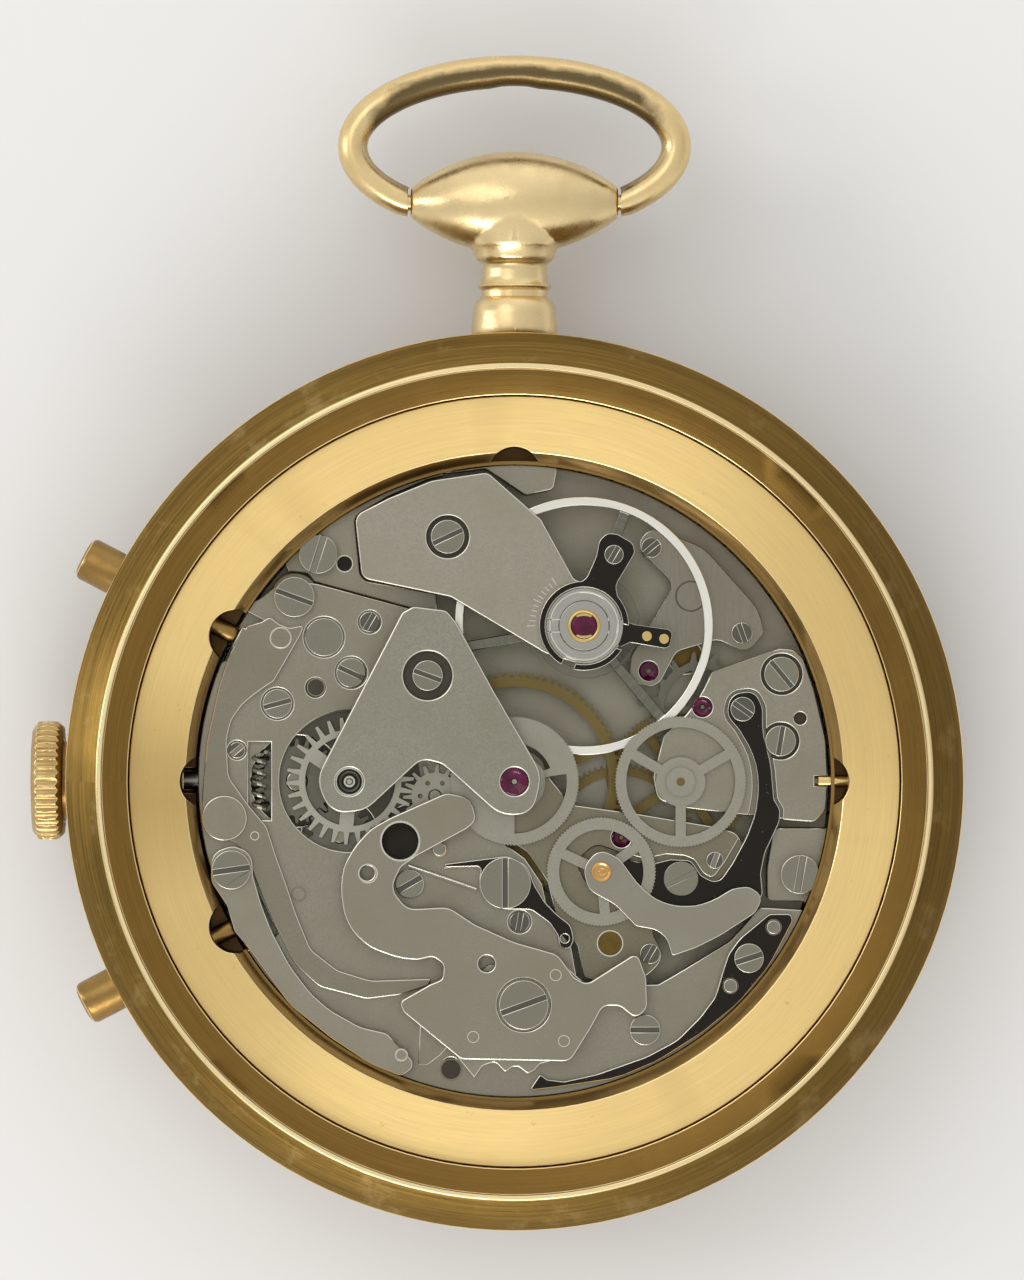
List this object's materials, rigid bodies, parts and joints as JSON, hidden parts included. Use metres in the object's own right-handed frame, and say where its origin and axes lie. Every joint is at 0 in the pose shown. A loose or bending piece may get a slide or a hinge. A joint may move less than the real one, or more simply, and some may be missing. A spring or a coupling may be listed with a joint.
{
  "type": "chronograph watch movement",
  "caption": "Hand-wound chronograph movement with cam-operated levers, in its open-backed gold pocket case with pendant, bow, crown and two pushers.",
  "frame": {"origin": "on the central arbor's axis, on the outer face of the crystal that the watch rests on", "axes": "+Z out of the open back, +Y towards the bow, -X towards the crown"},
  "size_m": [0.0454, 0.0573, 0.0104],
  "materials": {
    "case_middle": "worn gold plate with circular scratches",
    "pendant": "pale gold plate, polished and worn",
    "front_bezel": "worn gold plate with circular scratches",
    "crystal": "clear mineral crystal",
    "movement_ring": "bright gold plate, circularly brushed",
    "locating_pin": "polished gold plate",
    "dial": "silvered matt dial",
    "hour_markers": "pale gold plate, polished and worn",
    "crown_tube": "rose gold plate",
    "mainplate": "frosted nickel plate with polished edges",
    "barrel_bridge": "frosted nickel plate with polished edges",
    "lever_plate": "frosted nickel plate with polished edges",
    "center_bridge": "frosted nickel plate with polished edges",
    "train_bridge": "frosted nickel plate with polished edges",
    "pallet_cock": "frosted nickel plate with polished edges",
    "balance_cock": "frosted nickel plate with polished edges",
    "chronograph_bridge": "frosted nickel plate with polished edges",
    "bridge_screws": "polished steel",
    "jewels": "synthetic ruby",
    "shock_setting": "polished steel",
    "stud_carrier": "black polished steel",
    "cam_jumper": "black polished steel",
    "lever_springs": "polished steel",
    "bow": "pale gold plate, polished and worn",
    "winding_pinion": "turned steel",
    "crown": "polished gold plate",
    "winding_stem": "turned steel",
    "start_pusher": "rose gold plate",
    "reset_pusher": "rose gold plate",
    "barrel": "gilt brass",
    "ratchet_wheel": "turned steel",
    "crown_wheel": "turned steel",
    "transmission_wheel": "turned steel",
    "center_wheel": "gilt brass",
    "cannon_pinion": "turned steel",
    "minute_hand": "dark enamelled hands",
    "third_wheel": "gilt brass",
    "fourth_wheel": "gilt brass",
    "driving_wheel": "grained steel with polished edges",
    "small_seconds_hand": "dark enamelled hands",
    "escape_wheel": "turned steel",
    "pallet_fork": "turned steel",
    "balance_wheel": "polished steel",
    "balance_spring": "polished steel",
    "regulator": "polished steel",
    "minute_wheel": "gilt brass",
    "hour_wheel": "gilt brass",
    "hour_hand": "dark enamelled hands",
    "chronograph_runner": "grained steel with polished edges",
    "chronograph_hand": "dark enamelled hands",
    "minute_runner": "grained steel with polished edges",
    "minute_counter_hand": "dark enamelled hands",
    "sliding_gear": "grained steel with polished edges",
    "coupling_clutch": "black polished steel",
    "coupling_wheel": "grained steel with polished edges",
    "hammer": "grained steel with polished edges",
    "operating_lever": "grained steel with polished edges",
    "fly_back_lever": "grained steel with polished edges",
    "operating_cam": "grained steel with polished edges",
    "blocking_lever": "black polished steel"
  },
  "bodies": {
    "case_and_movement": {"case_middle": "case_middle", "pendant": "pendant", "front_bezel": "front_bezel", "crystal": "crystal", "movement_ring": "movement_ring", "locating_pin": "locating_pin", "dial": "dial", "hour_markers": "hour_markers", "crown_tube": "crown_tube", "mainplate": "mainplate", "barrel_bridge": "barrel_bridge", "lever_plate": "lever_plate", "center_bridge": "center_bridge", "train_bridge": "train_bridge", "pallet_cock": "pallet_cock", "balance_cock": "balance_cock", "chronograph_bridge": "chronograph_bridge", "bridge_screws": "bridge_screws", "jewels": "jewels", "shock_setting": "shock_setting", "stud_carrier": "stud_carrier", "cam_jumper": "cam_jumper", "lever_springs": "lever_springs"},
    "bow": {"bow": "bow"},
    "winding_pinion": {"winding_pinion": "winding_pinion"},
    "crown_and_stem": {"crown": "crown", "winding_stem": "winding_stem"},
    "start_pusher": {"start_pusher": "start_pusher"},
    "reset_pusher": {"reset_pusher": "reset_pusher"},
    "barrel": {"barrel": "barrel"},
    "ratchet": {"ratchet_wheel": "ratchet_wheel"},
    "crown_wheel": {"crown_wheel": "crown_wheel"},
    "transmission_wheel": {"transmission_wheel": "transmission_wheel"},
    "center_arbor": {"center_wheel": "center_wheel", "cannon_pinion": "cannon_pinion", "minute_hand": "minute_hand"},
    "third_wheel": {"third_wheel": "third_wheel"},
    "fourth_arbor": {"fourth_wheel": "fourth_wheel", "driving_wheel": "driving_wheel", "small_seconds_hand": "small_seconds_hand"},
    "escape_wheel": {"escape_wheel": "escape_wheel"},
    "pallet_fork": {"pallet_fork": "pallet_fork"},
    "balance": {"balance_wheel": "balance_wheel", "balance_spring": "balance_spring"},
    "regulator": {"regulator": "regulator"},
    "motion_wheel": {"minute_wheel": "minute_wheel"},
    "hour_arbor": {"hour_wheel": "hour_wheel", "hour_hand": "hour_hand"},
    "chronograph_arbor": {"chronograph_runner": "chronograph_runner", "chronograph_hand": "chronograph_hand"},
    "minute_arbor": {"minute_runner": "minute_runner", "minute_counter_hand": "minute_counter_hand"},
    "sliding_gear": {"sliding_gear": "sliding_gear"},
    "coupling_clutch": {"coupling_clutch": "coupling_clutch"},
    "coupling_wheel": {"coupling_wheel": "coupling_wheel"},
    "hammer": {"hammer": "hammer"},
    "operating_lever": {"operating_lever": "operating_lever"},
    "fly_back_lever": {"fly_back_lever": "fly_back_lever"},
    "operating_cam": {"operating_cam": "operating_cam"},
    "blocking_lever": {"blocking_lever": "blocking_lever"}
  },
  "joints": [
    {"name": "fourth_spin", "type": "hinge", "parent": "case_and_movement", "child": "fourth_arbor", "pos_m": [0.00808, -0.00003, 0.006], "axis": [0, 0, 1], "continuous": true},
    {"name": "third_spin", "type": "hinge", "parent": "case_and_movement", "child": "third_wheel", "pos_m": [0.0052, -0.00275, 0.006], "axis": [0, 0, 1], "continuous": true},
    {"name": "center_spin", "type": "hinge", "parent": "case_and_movement", "child": "center_arbor", "pos_m": [0, 0, 0.006], "axis": [0, 0, 1], "continuous": true},
    {"name": "barrel_spin", "type": "hinge", "parent": "case_and_movement", "child": "barrel", "pos_m": [-0.0039, -0.00487, 0.005], "axis": [0, 0, 1], "continuous": true},
    {"name": "escape_spin", "type": "hinge", "parent": "case_and_movement", "child": "escape_wheel", "pos_m": [0.00915, 0.0036, 0.006], "axis": [0, 0, 1], "continuous": true},
    {"name": "motion_spin", "type": "hinge", "parent": "case_and_movement", "child": "motion_wheel", "pos_m": [0, 0.0036, 0.0039], "axis": [0, 0, 1], "continuous": true},
    {"name": "hour_spin", "type": "hinge", "parent": "case_and_movement", "child": "hour_arbor", "pos_m": [0, 0, 0.0037], "axis": [0, 0, 1], "continuous": true},
    {"name": "pallet_swing", "type": "hinge", "parent": "case_and_movement", "child": "pallet_fork", "pos_m": [0.00655, 0.00535, 0.006], "axis": [0, 0, 1], "range_deg": [-4, 4]},
    {"name": "balance_swing", "type": "hinge", "parent": "case_and_movement", "child": "balance", "pos_m": [0.00337, 0.00755, 0.0068], "axis": [0, 0, 1], "range_deg": [-270, 270], "stiffness_Nm_per_rad": 0.00000077, "deforming": ["balance_spring"]},
    {"name": "regulator_turn", "type": "hinge", "parent": "case_and_movement", "child": "regulator", "pos_m": [0.00337, 0.00755, 0.0094], "axis": [0, 0, 1], "range_deg": [-8, 8]},
    {"name": "chronograph_spin", "type": "hinge", "parent": "case_and_movement", "child": "chronograph_arbor", "pos_m": [0, 0, 0.008], "axis": [0, 0, 1], "continuous": true},
    {"name": "minute_spin", "type": "hinge", "parent": "case_and_movement", "child": "minute_arbor", "pos_m": [-0.008, 0, 0.0075], "axis": [0, 0, 1], "continuous": true},
    {"name": "sliding_gear_spin", "type": "hinge", "parent": "case_and_movement", "child": "sliding_gear", "pos_m": [-0.00386, -0.00073, 0.0075], "axis": [0, 0, 1], "continuous": true},
    {"name": "winding_turn", "type": "hinge", "parent": "case_and_movement", "child": "winding_pinion", "pos_m": [0, 0, 0.0056], "axis": [1, 0, 0], "continuous": true},
    {"name": "crown_pull", "type": "slide", "parent": "winding_pinion", "child": "crown_and_stem", "axis": [-1, 0, 0], "range_m": [0, 0.001]},
    {"name": "crown_wheel_spin", "type": "hinge", "parent": "case_and_movement", "child": "crown_wheel", "pos_m": [-0.0106, 0, 0.007], "axis": [0, 0, 1], "continuous": true},
    {"name": "transmission_spin", "type": "hinge", "parent": "case_and_movement", "child": "transmission_wheel", "pos_m": [-0.00851, -0.00268, 0.007], "axis": [0, 0, 1], "continuous": true},
    {"name": "ratchet_spin", "type": "hinge", "parent": "case_and_movement", "child": "ratchet", "pos_m": [-0.0039, -0.00487, 0.007], "axis": [0, 0, 1], "continuous": true},
    {"name": "start_push", "type": "slide", "parent": "case_and_movement", "child": "start_pusher", "axis": [0.887, -0.4617, 0], "range_m": [0, 0.0008], "stiffness_N_per_m": 1000, "springref_m": -0.0004},
    {"name": "reset_push", "type": "slide", "parent": "case_and_movement", "child": "reset_pusher", "axis": [0.887, 0.4617, 0], "range_m": [0, 0.0005], "stiffness_N_per_m": 1000, "springref_m": -0.0004},
    {"name": "operating_swing", "type": "hinge", "parent": "case_and_movement", "child": "operating_lever", "pos_m": [-0.0141, -0.0018, 0.0078], "axis": [0, 0, 1], "range_deg": [-5.7, 0]},
    {"name": "cam_turn", "type": "hinge", "parent": "case_and_movement", "child": "operating_cam", "pos_m": [0.00045, -0.01085, 0.0078], "axis": [0, 0, 1], "range_deg": [0, 14]},
    {"name": "clutch_swing", "type": "hinge", "parent": "case_and_movement", "child": "coupling_clutch", "pos_m": [0.0111, 0.0035, 0.0073], "axis": [0, 0, 1], "range_deg": [-1.7, 0]},
    {"name": "blocking_swing", "type": "hinge", "parent": "case_and_movement", "child": "blocking_lever", "pos_m": [-0.00045, -0.00495, 0.0078], "axis": [0, 0, 1], "range_deg": [0, 3]},
    {"name": "coupling_spin", "type": "hinge", "parent": "coupling_clutch", "child": "coupling_wheel", "pos_m": [0.00422, -0.0044, 0.0078], "axis": [0, 0, 1], "continuous": true},
    {"name": "fly_back_swing", "type": "hinge", "parent": "case_and_movement", "child": "fly_back_lever", "pos_m": [-0.01375, -0.0043, 0.0081], "axis": [0, 0, 1], "range_deg": [0, 11.5]},
    {"name": "hammer_swing", "type": "hinge", "parent": "case_and_movement", "child": "hammer", "pos_m": [0.00045, -0.01085, 0.0085], "axis": [0, 0, 1], "range_deg": [-3.8, 0]},
    {"name": "bow_swing", "type": "hinge", "parent": "case_and_movement", "child": "bow", "pos_m": [0, 0.02825, 0.00535], "axis": [1, 0, 0], "range_deg": [-90, 90]}
  ],
  "couplings": [
    {"joint": "third_spin", "follows": "fourth_spin", "ratio": -0.13333},
    {"joint": "center_spin", "follows": "fourth_spin", "ratio": 0.016667},
    {"joint": "barrel_spin", "follows": "fourth_spin", "ratio": -0.002381},
    {"joint": "escape_spin", "follows": "fourth_spin", "ratio": -10},
    {"joint": "motion_spin", "follows": "fourth_spin", "ratio": -0.0055556},
    {"joint": "hour_spin", "follows": "fourth_spin", "ratio": 0.0013889},
    {"joint": "minute_spin", "follows": "chronograph_spin", "ratio": 0.033333},
    {"joint": "sliding_gear_spin", "follows": "chronograph_spin", "ratio": -0.066667},
    {"joint": "crown_wheel_spin", "follows": "winding_turn", "ratio": 0.5},
    {"joint": "transmission_spin", "follows": "winding_turn", "ratio": -0.63158},
    {"joint": "ratchet_spin", "follows": "winding_turn", "ratio": 0.26087},
    {"joint": "operating_swing", "follows": "start_push", "rad_per_m": -123.26},
    {"joint": "cam_turn", "follows": "start_push", "rad_per_m": 303.25},
    {"joint": "clutch_swing", "follows": "start_push", "rad_per_m": -35.779},
    {"joint": "blocking_swing", "follows": "start_push", "rad_per_m": 63.268},
    {"joint": "coupling_spin", "follows": "fourth_spin", "ratio": -1.2},
    {"joint": "fly_back_swing", "follows": "reset_push", "rad_per_m": 394.44},
    {"joint": "hammer_swing", "follows": "reset_push", "rad_per_m": -130.9}
  ]
}
